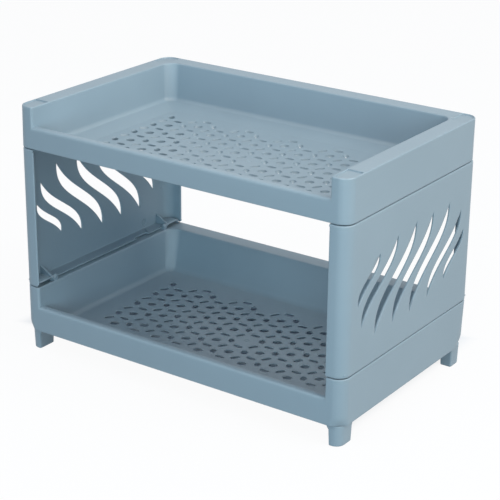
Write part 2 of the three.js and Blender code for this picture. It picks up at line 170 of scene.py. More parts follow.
def turned(patches):
    """The same patches after half a turn about the upright axis."""
    return [(points * (-1, -1, 1), faces) for points, faces in patches]


def piece(name, patches, body, nodes, material):
    """One welded, smooth mesh of all patches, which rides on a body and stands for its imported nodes."""
    starts = np.cumsum([0] + [len(points) for points, _ in patches])
    points = np.concatenate([points for points, _ in patches]) / 1000
    faces = [face for (_, corners), start in zip(patches, starts) for face in (corners + start).tolist()]
    mesh = bpy.data.meshes.new(name)
    mesh.from_pydata(points.tolist(), [], faces)
    welded = bmesh.new()
    welded.from_mesh(mesh)
    bmesh.ops.remove_doubles(welded, verts=welded.verts, dist=2e-6)
    welded.to_mesh(mesh)
    welded.free()
    mesh.shade_smooth()
    mesh.set_sharp_from_angle(angle=np.radians(50))
    mesh.materials.append(material)
    made = bpy.data.objects.new(name, mesh)
    bpy.context.scene.collection.objects.link(made)
    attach(made, body)
    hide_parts(*nodes)
    return made


# Stations round a tray: the front edge, the right front corner, the right side, the right back corner and
# the back, of which the left side is the mirror image. Every ring of a tray has a point at each station.

BEAD_TURN = np.linspace(0, np.pi, 25)
CORNER_STEPS = np.linspace(0, 1, len(BEAD_TURN))
FRONT_STEPS = np.concatenate([[0], np.linspace(0, 1, 41), [1]])
SIDE_SPLIT = -POCKET_END - .2
SIDE_Y = np.concatenate([np.linspace(LIP_Y, SIDE_SPLIT, 34, endpoint=False), [SIDE_SPLIT, SIDE_SPLIT + .4],
                         np.linspace(-94, BACK_Y - BASIN_CORNER, 33)])
SIDE_STEPS = (SIDE_Y - SIDE_Y[0]) / np.ptp(SIDE_Y)
BEND_STEPS = np.linspace(0, 1, 91)
BACK_STEPS = np.linspace(1, -1, 55)


def round_loop(front, corner, side, bend, back):
    """Closed loop from its right half; each stretch leaves out its last point, where the next starts."""
    def mirror(stretch):
        return stretch[::-1][:-1] * (-1, 1)
    return np.concatenate([
        front[:-1], corner[:-1], side[:-1], bend[:-1], back[:-1],
        mirror(bend), mirror(side), mirror(corner)])


def along(points):
    """The stations from the right post round the back to the left post."""
    first = len(FRONT_STEPS) - 1
    return np.concatenate([points[first:], points[:1]])


def pair(x, y):
    """Plan points from their two coordinates, either of which may be one number."""
    return np.stack(np.broadcast_arrays(x, y), axis=-1).astype(float)


def quarter(radius, steps):
    """Insets and drops of a rounded edge over a quarter circle, from the lower end to the upper one."""
    turns = np.linspace(0, np.pi / 2, steps)
    return [(radius * (1 - np.cos(turn)), radius * (1 - np.sin(turn))) for turn in turns]


def basin_ring(inset, front_radius, back_radius):
    """Outline of the basin, drawn in from the walls' inner faces, with quarter-circle corners."""
    x, y0, y1 = INNER_X - inset, LIP_Y + inset, BACK_Y - inset
    turn = CORNER_STEPS * np.pi / 2
    bend = BEND_STEPS * np.pi / 2
    reach, far = x - front_radius, x - back_radius
    return round_loop(
        pair(reach * (2 * FRONT_STEPS - 1), y0),
        pair(reach + front_radius * np.sin(turn), y0 + front_radius * (1 - np.cos(turn))),
        pair(x, y0 + front_radius + (y1 - back_radius - y0 - front_radius) * SIDE_STEPS),
        pair(far + back_radius * np.cos(bend), y1 - back_radius + back_radius * np.sin(bend)),
        pair(far * BACK_STEPS, y1))


def outer_path(length):
    """Point and inward normal of the rack's outline at a length from the front post's edge: a piece of the
    front face, a quarter circle, the right side, a second quarter circle and the back."""
    side, arc = 2 * (HALF_DEPTH - CORNER), CORNER * np.pi / 2
    past_flat = length - POST_FLAT
    past_side = past_flat - arc - side
    first = np.clip(past_flat / CORNER, 0, np.pi / 2)
    second = np.clip(past_side / CORNER, 0, np.pi / 2)
    x = (INNER_X + POST_ROUND + np.minimum(length, POST_FLAT) + CORNER * np.sin(first)
         - CORNER * (1 - np.cos(second)) - np.maximum(past_side - arc, 0))
    y = (-HALF_DEPTH + CORNER * (1 - np.cos(first)) + np.clip(past_flat - arc, 0, side)
         + CORNER * np.sin(second))
    turn = first + second
    return pair(x, y), pair(-np.sin(turn), np.cos(turn))


# The lip's section is a half circle with a fuller front half, by a power of its sine and cosine
bead_power = np.where(BEAD_TURN < np.pi / 2, BEAD_POWER, 1)
bead_cos = np.cos(BEAD_TURN)
bead_y = -HALF_DEPTH + BEAD * (1 - np.sign(bead_cos) * np.abs(bead_cos) ** bead_power)
bead_rise = BEAD * np.clip(np.sin(BEAD_TURN), 0, 1) ** bead_power
post_y = np.minimum(bead_y, -HALF_DEPTH + POST_ROUND)
post_in = -HALF_DEPTH + POST_ROUND - post_y
bead_x = INNER_X + POST_ROUND - np.sqrt(POST_ROUND ** 2 - post_in ** 2)
bend_turn = BEND_STEPS * np.pi / 2

# Inner face of the walls over the lip, from the post's edge to the back, and its normal into the wall
inner_line = round_loop(
    pair((INNER_X + POST_ROUND) * (2 * FRONT_STEPS - 1), -HALF_DEPTH),
    pair(bead_x, bead_y),
    pair(INNER_X, SIDE_Y),
    pair(INNER_X - BASIN_CORNER * (1 - np.cos(bend_turn)), BACK_Y - BASIN_CORNER * (1 - np.sin(bend_turn))),
    pair((INNER_X - BASIN_CORNER) * BACK_STEPS, BACK_Y))
inner_normal = round_loop(
    pair(0 * FRONT_STEPS, 1),
    pair((INNER_X + POST_ROUND - bead_x) / POST_ROUND, post_in / POST_ROUND),
    pair(1, 0 * SIDE_Y),
    pair(np.cos(bend_turn), np.sin(bend_turn)),
    pair(0 * BACK_STEPS, 1))
lip_rise = round_loop(
    pair(0, 0 * FRONT_STEPS), pair(0, bead_rise), pair(0, 0 * SIDE_Y), pair(0, 0 * BEND_STEPS),
    pair(0, 0 * BACK_STEPS))[:, 1]

# Outer face: the post's stations are spread over the corner, and then both faces run side by side
post_length = np.concatenate([[0], np.cumsum(np.hypot(np.diff(bead_x), np.diff(bead_y)))])
front_side = SIDE_Y < SIDE_SPLIT
corner_length = POST_FLAT + CORNER * np.pi / 2 + HALF_DEPTH - CORNER + SIDE_SPLIT
share = corner_length / (post_length[-1] + SIDE_SPLIT - LIP_Y)
side_length = np.where(
    front_side, share * (post_length[-1] + SIDE_Y - LIP_Y), corner_length + SIDE_Y - SIDE_SPLIT)
bend_length = side_length[-1] + BEND_STEPS * (2 * (HALF_DEPTH - CORNER - SIDE_Y[-1]) + CORNER * np.pi / 2)
stretches = [outer_path(length) for length in (share * post_length, side_length, bend_length)]
outer_line = round_loop(
    pair((INNER_X + POST_ROUND) * (2 * FRONT_STEPS - 1), -HALF_DEPTH), *[line for line, _ in stretches],
    pair((INNER_X - BASIN_CORNER) * BACK_STEPS, HALF_DEPTH))
outer_normal = round_loop(
    pair(0 * FRONT_STEPS, 1), *[normal for _, normal in stretches], pair(0 * BACK_STEPS, -1))


# Trays

def pocket_depth(plan):
    """How far the rim is sunk at plan points: a rounded step inside a foot's outline, at all corners."""
    place = np.abs(plan) - POCKET["middle"]
    half = np.array(POCKET["half"])
    edge = np.max(np.abs(place) - half, axis=-1)
    beyond = np.maximum(place - half + POCKET["corner"], 0)
    edge = np.maximum(edge, np.hypot(beyond[..., 0], beyond[..., 1]) - POCKET["corner"])
    step = np.clip(-edge / POCKET["edge"], 0, 1)
    return POCKET["depth"] * step * step * (3 - 2 * step)


def rim(tray):
    """Walls over the lip: at each station the profile climbs the inner face, rounds the rim over a quarter
    circle, crosses it with the foot pockets sunk in, rounds it again and goes down the outer face."""
    inner, inward = along(inner_line), along(inner_normal)
    outer, outward = along(outer_line), along(outer_normal)
    level = tray["lip"] - BEAD
    edges = [(inset, tray["rim"] - drop) for inset, drop in quarter(RIM_ROUND, 5)]
    profile = [at_height(inner, level + along(lip_rise)), at_height(inner, tray["rim"] - RIM_ROUND - 1)]
    profile += [at_height(inner + inward * inset, z) for inset, z in edges]
    for share in np.linspace(0, 1, 29)[1:-1]:
        plan = (inner + inward * RIM_ROUND) * (1 - share) + (outer + outward * RIM_ROUND) * share
        profile.append(at_height(plan, tray["rim"] - pocket_depth(plan)))
    profile += [at_height(outer + outward * inset, z) for inset, z in edges[::-1]]
    profile += [at_height(outer, tray["rim"] - RIM_ROUND - 1), at_height(outer, level)]
    return patch(np.stack(profile, axis=1))


def lip(tray):
    """The lip's rounded top: a half circle from the front face to the basin, from post to post."""
    x = bead_x[:, None] * (2 * FRONT_STEPS - 1)
    y, z = np.broadcast_arrays(bead_y[:, None], (tray["lip"] - BEAD + bead_rise)[:, None])
    return patch(np.stack([x, np.broadcast_to(y, x.shape), np.broadcast_to(z, x.shape)], axis=-1))


def basin_profile(slope, offset):
    """Inset and rise of the basin's skin from the flat floor to the wall: a short blend, the sloped border
    and a circle that touches the slope and the wall; an offset moves the skin outwards along its
    normal."""
    steps = np.linspace(0, 1, 5)
    blend = 2 * (FLAT_INSET - SLOPE_INSET)
    start = np.stack([FLAT_INSET - blend * steps, slope * blend / 2 * steps ** 2], axis=1)
    lean = np.arctan(slope)
    middle = slope * SLOPE_INSET + FILLET * (1 / np.cos(lean) - slope)
    turns = np.linspace(lean, np.pi / 2, 9)
    bend = np.stack([FILLET * (1 - np.sin(turns)), middle - FILLET * np.cos(turns)], axis=1)
    skin = np.concatenate([start, bend])
    angle = np.concatenate([np.arctan(slope * steps), turns])
    return skin - offset * np.stack([np.sin(angle), np.cos(angle)], axis=1)


def basin_rings(tray, offset):
    """Rings of the basin's skin from the flat floor up to the lip's level. The front corners close up
    towards the lip, where the wall runs on straight as the post's inner face."""
    level = tray["lip"] - BEAD
    profile = basin_profile(tray["slope"], offset)
    top = profile[-1, 1] + tray["floor"]
    rings = []
    for inset, rise in profile:
        front, back = max(FRONT_CORNER - inset / 2, LEAST_CORNER), max(BASIN_CORNER - inset, LEAST_CORNER)
        rings.append(at_height(basin_ring(inset, front, back), tray["floor"] + rise))
    for step in np.linspace(0, 1, 6)[1:]:
        outline = basin_ring(-offset, FRONT_CORNER * np.sqrt(1 - step ** 2), BASIN_CORNER + offset)
        rings.append(at_height(outline, top + (level - top) * step))
    return rings


def dished(plan):
    """Share of the floor's sag at plan points: a flat-bottomed bowl from a high power of the way out."""
    half = np.array([INNER_X, (BACK_Y - LIP_Y) / 2]) - FLAT_INSET
    way = np.abs(plan - (0, (LIP_Y + BACK_Y) / 2)) / half
    return np.prod(np.clip(1 - way ** SAG_POWER, 0, 1), axis=-1)


def floor_points(tray, plan, depth):
    """Points of the sagging floor at a share of its thickness, which may grow from edge to middle."""
    dish = dished(plan)
    edge, middle = tray["plate"]
    thickness = edge + (middle - edge) * dish
    z = tray["floor"] - tray["sag"] * dish - depth * thickness
    return np.concatenate([plan, z[..., None]], axis=-1)


def drained_floor(tray):
    """Floor of cells on the triangular lattice. A cell is a rectangle of sixteen points with a slot in it,
    and its rings run from the rectangle to the slot's rounded edge, down the slot and out again along the
    underside."""
    column, row = [index.ravel() for index in np.meshgrid(COLUMNS, ROWS, indexing="ij")]
    odd = column % 2
    even_step = ((column - odd) // 2 + row) % 2 == 0
    middle = pair(column * COLUMN, LATTICE_Y + PITCH * (row + odd / 2))
    kind = 2 * odd + even_step
    gate = (column == GATE[0]) & (row == GATE[1])
    # the front row has holes in every second column, and the back row only dashes
    plain = (row == ROWS[0]) & (odd == 0) | (row == ROWS[-1]) & (kind == LEVEL)
    holed = ~(gate | plain)
    hx, hy = COLUMN / 2, PITCH / 2
    side = np.array([0, .5, 1, 1, 1, 1, 1, .5]) * hy
    across = np.array([1, 1, 1, .5, 0, -.5, -1, -1]) * hx
    frame_points = np.concatenate([pair(across, side), -pair(across, side)])
    degrees, half_length, half_width, power = HOLES[kind].T
    shift = np.rint(degrees * CELL_POINTS / 360).astype(int)
    turn = (np.arange(CELL_POINTS)[None] - shift[:, None]) * 2 * np.pi / CELL_POINTS
    cosine, sine = np.cos(turn), np.sin(turn)

    def slot(grow):
        """Rounded slots: a power of cosine and sine gives a lens or a dash, turned to each cell's angle."""
        long = (half_length[:, None] + grow) * np.sign(cosine) * np.abs(cosine) ** power[:, None]
        wide = (half_width[:, None] + grow) * np.sign(sine) * np.abs(sine) ** power[:, None]
        angle = np.radians(degrees)[:, None]
        plan = pair(long * np.cos(angle) - wide * np.sin(angle), long * np.sin(angle) + wide * np.cos(angle))
        return middle[:, None] + plan

    # holes at the left end go straight through the upper floor, the others narrow towards its underside
    straight = (middle @ STRAIGHT_WAY < STRAIGHT_LIMIT) & (kind != RISING)
    at_left, at_upright, elsewhere = tray["hole_flare"]
    flare = np.where(straight, at_left, np.where(kind == UPRIGHT, at_upright, elsewhere))[:, None]
    outline = middle[:, None] + frame_points[None]
    upper, lower = tray["hole_edge"]
    rings = [(outline, 0), (slot(1.5 * HOLE_ROUND), 0), (slot(HOLE_ROUND), 0),
             (slot(.2 * HOLE_ROUND), upper), (slot(0), lower), (slot(flare), 1), (outline, 1)]
    points = np.stack([floor_points(tray, plan, depth) for plan, depth in rings], axis=1)
    cell = quads(len(rings), CELL_POINTS, closed=True)
    starts = np.arange(holed.sum())[:, None, None] * len(rings) * CELL_POINTS
    patches = [(points[holed].reshape(-1, 3), (cell[None] + starts).reshape(-1, 4))]

    corners = np.arange(plain.sum() * CELL_POINTS).reshape(-1, CELL_POINTS)
    for layer, step in ((0, 1), (-1, -1)):
        patches.append((points[plain, layer].reshape(-1, 3), corners[:, ::step]))
    bare = points[gate][0, [0, -1]]
    round_turn = np.arange(CELL_POINTS) * 2 * np.pi / CELL_POINTS
    circle = pair(np.cos(round_turn), np.sin(round_turn))
    level = bare[0, :, 2].mean()
    mark = [at_height(middle[gate][0] + radius * circle, level + lift) for radius, lift in GATE_MARK]
    patches += [patch(np.stack([bare[0], *mark]), closed=True), lid(mark[-1]), lid(bare[1], flip=True)]

    low, high = middle[:, 1].min() - hy, middle[:, 1].max() + hy
    # half cells even out the staggered front and back edges
    down, wide = 3, 5
    for odd_column in (False, True):
        columns = COLUMNS[(COLUMNS % 2 == 1) == odd_column]
        y = np.linspace(low, low + hy, down) if odd_column else np.linspace(high - hy, high, down)
        x = columns[:, None] * COLUMN + np.linspace(-hx, hx, wide)[None]
        plan = np.stack(np.broadcast_arrays(x[:, None, :], y[None, :, None]), axis=-1)
        starts = np.arange(len(columns))[:, None, None] * down * wide
        corners = (quads(down, wide)[None] + starts).reshape(-1, 4)
        for depth, step in ((0, 1), (1, -1)):
            patches.append((floor_points(tray, plan, depth).reshape(-1, 3), corners[:, ::step]))

    x = np.linspace(COLUMNS[0] - .5, COLUMNS[-1] + .5, 4 * len(COLUMNS) + 1) * COLUMN
    y = np.arange(low, high + hy / 4, hy / 2)
    edge = np.concatenate([
        pair(x[:-1], low), pair(x[-1], y[:-1]), pair(x[:0:-1], high), pair(x[0], y[:0:-1])])
    for depth in (0, 1):
        border = basin_rings(tray, depth * tray["skin"])[0]
        patches.append(zipper(floor_points(tray, edge, depth), border, flip=depth > 0))
    return patches


def leaned(points, tray):
    """The walls' lean: the whole tray narrows by its draft towards the rim, and the basin's side and back
    walls come in towards the floor, with a shift that is full from the wall to its fillet's foot and fades
    out to both sides."""
    x, y, z = points.T
    up = np.clip((z - tray["bottom"]) / (tray["rim"] - tray["bottom"]), 0, 1)
    down = np.clip((tray["rim"] - z) / (tray["rim"] - tray["floor"]), 0, 1)
    lean_x, lean_y = tray["lean"]
    shares = [0, 1, 1, 0]
    at_side = np.interp(
        np.abs(x), [INNER_X - FLAT_INSET, INNER_X - FILLET, INNER_X + 1, HALF_WIDTH - WALL], shares)
    at_back = np.interp(y, [BACK_Y - FLAT_INSET, BACK_Y - FILLET, BACK_Y + 1, HALF_DEPTH - WALL], shares)
    behind_posts = np.clip((y - LIP_Y) / LEAN_RUN, 0, 1)
    x = x - np.sign(x) * lean_x * down * at_side * behind_posts
    y = y - lean_y * down * at_back
    narrowed = 1 - tray["draft"] * up
    return np.column_stack([x * narrowed, y * narrowed, z])


def tray_patches(tray):
    """A whole tray: the drained floor, the basin, the lip, the rim and the outer skin, turned in at its
    bottom edge and lined by the hollow that runs round under the rim."""
    level = tray["lip"] - BEAD
    front = len(FRONT_STEPS) - 1
    ceiling = np.full(len(outer_line), tray["rim"] - CEILING)
    ceiling[1:front] = tray["lip"] - CEILING
    section = [(0, level - tray["bottom"]), *[(0, rise) for rise in (TUCK_HEIGHT, 9, 7, 5, 3.2, 1.8)],
               *quarter(BOTTOM_ROUND, 4), (WALL - .3, 0), (WALL, .3)]
    at_corner = 2 * np.abs(np.prod(outer_normal, axis=1))
    outside = []
    for inset, rise in section:
        tuck = tray["tuck"] * max(1 - rise / TUCK_HEIGHT, 0) ** 2 * at_corner
        outside.append(at_height(outer_line + (inset + tuck)[:, None] * outer_normal, tray["bottom"] + rise))
    skin = tray["skin"]
    lining = [outside[-1], at_height(outer_line + WALL * outer_normal, ceiling),
              at_height(basin_ring(-skin, 0, BASIN_CORNER + skin), ceiling)]
    under = basin_rings(tray, skin)[::-1]
    patches = [loft(basin_rings(tray, 0), flip=True), lip(tray), rim(tray), loft(outside, flip=True),
               loft([*lining, *under], flip=True), *drained_floor(tray)]
    return [(leaned(points, tray), faces) for points, faces in patches]


def block(low, high, edge):
    """Box between two corners, with small chamfers along its upright and its level edges."""
    (x0, y0, z0), (x1, y1, z1) = low, high
    rings = []
    for inset, z in ((edge, z0), (0, z0 + edge), (0, z1 - edge), (edge, z1)):
        a, b, c, d = x0 + inset, x1 - inset, y0 + inset, y1 - inset
        rings.append(at_height(np.array([(a + edge, c), (b - edge, c), (b, c + edge), (b, d - edge),
                                         (b - edge, d), (a + edge, d), (a, d - edge), (a, c + edge)]), z))
    return [loft(rings), lid(rings[0], flip=True), lid(rings[-1])]


def ribs(tray):
    """Three ribs across each hollow side wall of the upper tray, which stand on the panels' pads."""
    x0, x1, bottom = INNER_X + .8, HALF_WIDTH - WALL / 2, tray["bottom"]
    right = []
    for y in RIB_Y:
        right += block((x0, y - RIB_HALF, bottom), (x1, y + RIB_HALF, bottom + RIB_HEIGHT), .2)
    return [(leaned(points, tray), faces) for points, faces in right + turned(right)]


# Hinges

def lug(outline, y0, y1, edge):
    """Plate drawn in XZ round the hinge's axis, with a bore: its outline is drawn in at both faces, where
    it meets the bore in a ring."""
    middle = np.array([HINGE_X, HINGE_Z])
    away = outline - middle
    size = np.linalg.norm(away, axis=1, keepdims=True)
    bore = middle + away / size * PIN_BORE
    inner = middle + away / size * (size - edge)
    rings = [(bore, y1), (bore, y0), (inner, y0), (outline, y0 + edge), (outline, y1 - edge), (inner, y1),
             (bore, y1)]
    return loft([np.column_stack([plan[:, 0], np.full(len(plan), y), plan[:, 1]]) for plan, y in rings])


def lugs(outline, span, edge):
    """The same plate at the back end and at the front end of the hinge."""
    y0, y1 = span
    return [lug(outline, y0, y1, edge), lug(outline, -y1, -y0, edge)]


def arc(x, z, radius, start, end, steps):
    """Points of a circle in XZ between two angles in degrees."""
    turn = np.radians(np.linspace(start, end, steps))
    return pair(x + radius * np.cos(turn), z + radius * np.sin(turn))


def ears(tray):
    """Hinge ears of the lower tray: an upright with a round head at each end of both sides, with its base
    sunk in the rim."""
    base = tray["rim"] - EAR_SINK
    shoulder = HINGE_Z - np.array([2, 4])
    head = arc(HINGE_X, HINGE_Z, EYE_RADIUS, 0, 180, 17)
    foot = pair(np.linspace(HINGE_X - EYE_RADIUS, HINGE_X + EYE_RADIUS, 9), base)
    outline = np.concatenate([head, pair(HINGE_X - EYE_RADIUS, shoulder), foot,
                              pair(HINGE_X + EYE_RADIUS, shoulder[::-1])])
    right = lugs(outline, EAR_Y, .5)
    return right + turned(right)


# Side panels

PANEL_MIDDLE = 149.6
SWAY = 0.62
# Slots by their middle (Y, and Z from the panel's middle), half reach in Y and Z, and width
SLOTS = [((-83.3, 13.2), (18.7, 20.6), 13.0), ((-63.3, 5.7), (31.9, 36.4), 16.5),
         ((-33, 0), (36.7, 45.7), 19.5), ((0, 0), (36.7, 45.7), 19.5)]
SLOTS += [((-y, -z), half, width) for (y, z), half, width in SLOTS[2::-1]]
SLOT_EDGE = 0.25
SLOT_SPREAD = 1.4      # growth of a slot's width and height for each millimetre of its edge
SLOT_DROP = 0.8        # each slot's lower tip lies twice this further down than its mirrored upper tip
PANEL_SKIN = 1.7
ROW_STEP = 1.75
FLANGE_SETBACK = 5.0   # lets the bottom flange swing over the rim
FLANGE_THICK = 1.8
FLANGE_FILLET = 1.4
SKIN_REACH = 1.5       # flanges and ledges end this far inside the panel's outer face
# Set-backs of the bottom flange's inner edge at the ears, the gussets, the reliefs and its ends
EAR_SETBACK, GUSSET_SETBACK, RELIEF_SETBACK, END_SETBACK = 8.2, 3.5, 13.0, 3.2
RELIEF_END = 120.0     # the bottom flange is cut back over the rim pocket, from the gusset to here
EJECTOR_RADIUS = 2.4
EJECTOR_PINS = ((-110, 44), (105, 42), (105, 108), (-105, 108))   # Y, and height over the panel's bottom
LATCH_Y = (-86.7, -69.7)
LATCH_TOP = 90.1
LATCH_NOTCH, LATCH_NOTCH_DEPTH = (-69, -68, -47, -46), 4.0   # beside the tail, in the flange's inner edge
LOOP_MIDDLE, LOOP_HALF = (-77.2, 8.8), (3.0, 4.0)   # Y, and height over the panel's bottom
STEM_TOP, STEM_END_Y = (-75.3, 5.2), -74.4
TAIL_REACH, TAIL_DRIFT, TAIL_WAVE = 13.5, 4.4, .9
GROOVE_HALF, GROOVE_FLANK = .85, .4
LOOP_DEPTH, TAIL_DEPTH = 1.3, 1.5
GROOVE_SINK = 0.03     # how far the latch's faces lie under the ones round them


def slot_edges(slot, share, grow):
    """Left edge, right edge and height of a flame-shaped slot at a share of its way up: its middle line is
    an S, the share less a part of its sine, and its width is half a sine."""
    (y, z), (reach_y, reach_z), width = slot
    line = y + (reach_y + grow) * (2 * (share - SWAY * np.sin(2 * np.pi * share) / (2 * np.pi)) - 1)
    bulge = (width / 2 + SLOT_SPREAD * grow) * np.sin(np.pi * share)
    height = PANEL_MIDDLE + z - SLOT_DROP + (reach_z + SLOT_DROP + SLOT_SPREAD * grow) * (2 * share - 1)
    return line - bulge, line + bulge, height


def panel_rows():
    """Heights of the panel's rows: even steps, and the tips of all slots."""
    tips = [slot_edges(slot, np.array([0.0, 1.0]), SLOT_EDGE)[2] for slot in SLOTS]
    even = np.arange(PANEL_BOTTOM + WALL, PANEL_TOP - WALL, ROW_STEP)
    return np.unique(np.round(np.concatenate([even, [PANEL_TOP - WALL], *tips]), 4))


def skin_with_slots():
    """Plate with seven slots: between one slot and the next, rows of points go from edge to edge, on the
    outer face and back on the inner one, and each slot gets a wall with rounded edges."""
    z = panel_rows()
    lines = [np.full(len(z), -HALF_DEPTH + CORNER)]
    for slot in SLOTS:
        low, high = slot_edges(slot, np.array([0.0, 1.0]), SLOT_EDGE)[2]
        left, right, _ = slot_edges(slot, np.clip((z - low) / (high - low), 0, 1), SLOT_EDGE)
        lines += [left, right]
    lines.append(np.full(len(z), HALF_DEPTH - CORNER))
    patches = []
    for left, right in zip(lines[::2], lines[1::2]):
        y = left[:, None] + (right - left)[:, None] * np.linspace(0, 1, 7)
        height = np.broadcast_to(z[:, None], y.shape)
        outer = np.stack([np.full(y.shape, HALF_WIDTH), y, height], axis=-1)
        inner = np.stack([np.full(y.shape, HALF_WIDTH - PANEL_SKIN), y, height], axis=-1)
        patches.append(patch(np.concatenate([outer, inner[::-1], outer[:1]])))
    for slot in SLOTS:
        low, high = slot_edges(slot, np.array([0.0, 1.0]), SLOT_EDGE)[2]
        rows = z[(z > low - 1e-3) & (z < high + 1e-3)]
        share = np.clip((rows - low) / (high - low), 0, 1)
        rings = []
        for grow, depth in ((SLOT_EDGE, 0), (.2 * SLOT_EDGE, .3 * SLOT_EDGE), (0, SLOT_EDGE),
                            (0, PANEL_SKIN - SLOT_EDGE), (.2 * SLOT_EDGE, PANEL_SKIN - .3 * SLOT_EDGE),
                            (SLOT_EDGE, PANEL_SKIN)):
            left, right, height = slot_edges(slot, share, grow)
            loop = np.concatenate([pair(right, height), pair(left, height)[-2:0:-1]])
            rings.append(np.column_stack([np.full(len(loop), HALF_WIDTH - depth), loop]))
        patches.append(loft(rings))
    return patches


def panel_ends():
    """Front and back ends of the panel: a profile from the inner skin round the corner to a rounded end
    and back along the outer skin, carried up the panel's rows."""
    turn = np.linspace(np.pi / 2, 0, 9)
    middle = pair(HALF_WIDTH - CORNER, -HALF_DEPTH + CORNER)
    bend = pair(np.sin(turn), -np.cos(turn))
    inside = middle + (CORNER - np.linspace(PANEL_SKIN, WALL, len(turn)))[:, None] * bend
    outside = (middle + CORNER * bend)[::-1]
    end_turn = np.linspace(0, np.pi, 9)
    radius = WALL / 2
    end = pair(INNER_X + radius * (1 - np.sin(end_turn)), -HALF_DEPTH + radius * (1 + np.cos(end_turn)))
    profile = np.concatenate([inside, pair(INNER_X + 2.2, [-HALF_DEPTH + WALL]), end,
                              pair(INNER_X + 2.2, [-HALF_DEPTH]), outside])
    rows = panel_rows()
    front = np.stack([at_height(profile, z) for z in rows])
    back = front * (1, -1, 1)
    return [patch(front), patch(back, flip=True)]


def panel_edge(z, way, round_off):
    """Outer edge of the panel's top or bottom: its outline is drawn in over a quarter circle towards the
    flange, and its ends follow the circle round the hinge."""
    length = np.linspace(0, 1, 9) * np.pi / 2
    front = pair(HALF_WIDTH - CORNER + CORNER * np.sin(length), -HALF_DEPTH + CORNER * (1 - np.cos(length)))
    y = np.linspace(-HALF_DEPTH + CORNER, HALF_DEPTH - CORNER, 30)[1:-1]
    normal = np.concatenate([pair(0, [1]), pair(-np.sin(length), np.cos(length)), pair(-1, 0 * y),
                             pair(-np.sin(length), -np.cos(length))[::-1], pair(0, [-1])])
    levels = [(0, z - way * WALL), *[(inset, z - way * drop) for inset, drop in quarter(round_off, 5)]]
    rows = []
    for inset, height in (*levels, (WALL, z)):
        end = HINGE_X - np.sqrt(HINGE_RADIUS ** 2 - np.clip(HINGE_Z - height, 0, HINGE_RADIUS) ** 2)
        plan = np.concatenate([pair(end, [-HALF_DEPTH]), front, pair(HALF_WIDTH, y),
                               front[::-1] * (1, -1), pair(end, [HALF_DEPTH])])
        rows.append(at_height(plan + inset * normal, height))
    return patch(np.stack(rows), flip=way < 0)


def flange(z0, z1, y, inner, edge, fillet):
    """Flat flange between the panel's inner edge, which may step back along Y, and its skin: a profile
    with small quarter circles at its inner edge and a fillet up to the skin, carried along Y."""
    reach = CORNER - SKIN_REACH
    past = np.clip(np.abs(y) - HALF_DEPTH + CORNER, 0, reach)
    outer = HALF_WIDTH - CORNER + np.sqrt(reach ** 2 - past ** 2)
    profile = [(outer, z0)]
    profile += [(inner + drop, z0 + inset) for inset, drop in quarter(edge, 5)]
    profile += [(inner + inset, z1 - drop) for inset, drop in quarter(edge, 5)]
    profile += [(inner + edge + .3, z1), (outer - fillet - .3, z1)]
    profile += [(outer - drop, z1 + inset) for inset, drop in quarter(fillet, 5)]
    profile += [(outer, z0)]
    rows = np.stack([np.stack([x, y, np.full(len(y), z)], axis=-1) for x, z in profile])
    ends = [lid(rows[:-1, 0], flip=True), lid(rows[:-1, -1])]
    return [patch(rows, flip=True), *ends]


def gussets():
    """Triangular hinge gussets between the bottom flange and the skin, with a round eye for the pin."""
    head = arc(HINGE_X, HINGE_Z, EYE_RADIUS, 130, 270, 15)
    skin = HALF_WIDTH - 1.2
    bottom = pair(np.linspace(HINGE_X, skin, 9)[1:], PANEL_BOTTOM + .8)
    upright = pair(skin, np.linspace(PANEL_BOTTOM, PANEL_BOTTOM + GUSSET_HEIGHT, 7)[1:])
    slope = np.linspace(upright[-1], head[0], 9)[1:-1]
    outline = np.concatenate([head, bottom, upright, slope])
    return lugs(outline, GUSSET_Y, .3)


def raised_line(line, width, rise):
    """Low rounded bead on the inner skin along a line in YZ: half a sine across the line."""
    step = np.gradient(line, axis=0)
    across = step[:, ::-1] * (1, -1) / np.linalg.norm(step, axis=1, keepdims=True)
    face = HALF_WIDTH - PANEL_SKIN + .05
    rows = []
    for share in np.linspace(-.5, .5, 7):
        x = np.full(len(line), face - rise * np.cos(np.pi * share))
        rows.append(np.column_stack([x, line + width * share * across]))
    return patch(np.stack(rows))


def ring(y, z, half_y, half_z):
    """Closed ellipse in YZ."""
    turn = np.linspace(0, 2 * np.pi, 37)
    return pair(y + half_y * np.cos(turn), z + half_z * np.sin(turn))


def grooved(line, across, up, depth, to_corner):
    """Grid of places and the depth there of a groove along a line: a smooth step of the distance to its
    nearest point, which runs out over the last millimetre to the corner between the skin and the
    flange."""
    places = np.stack(np.meshgrid(across, up, indexing="ij"), axis=-1)
    away = np.min(np.linalg.norm(places[:, :, None] - line, axis=-1), axis=-1)
    share = np.clip((GROOVE_HALF - away) / GROOVE_FLANK, 0, 1) * np.clip(to_corner(places), 0, 1)
    return places, GROOVE_SINK + depth * share * share * (3 - 2 * share)


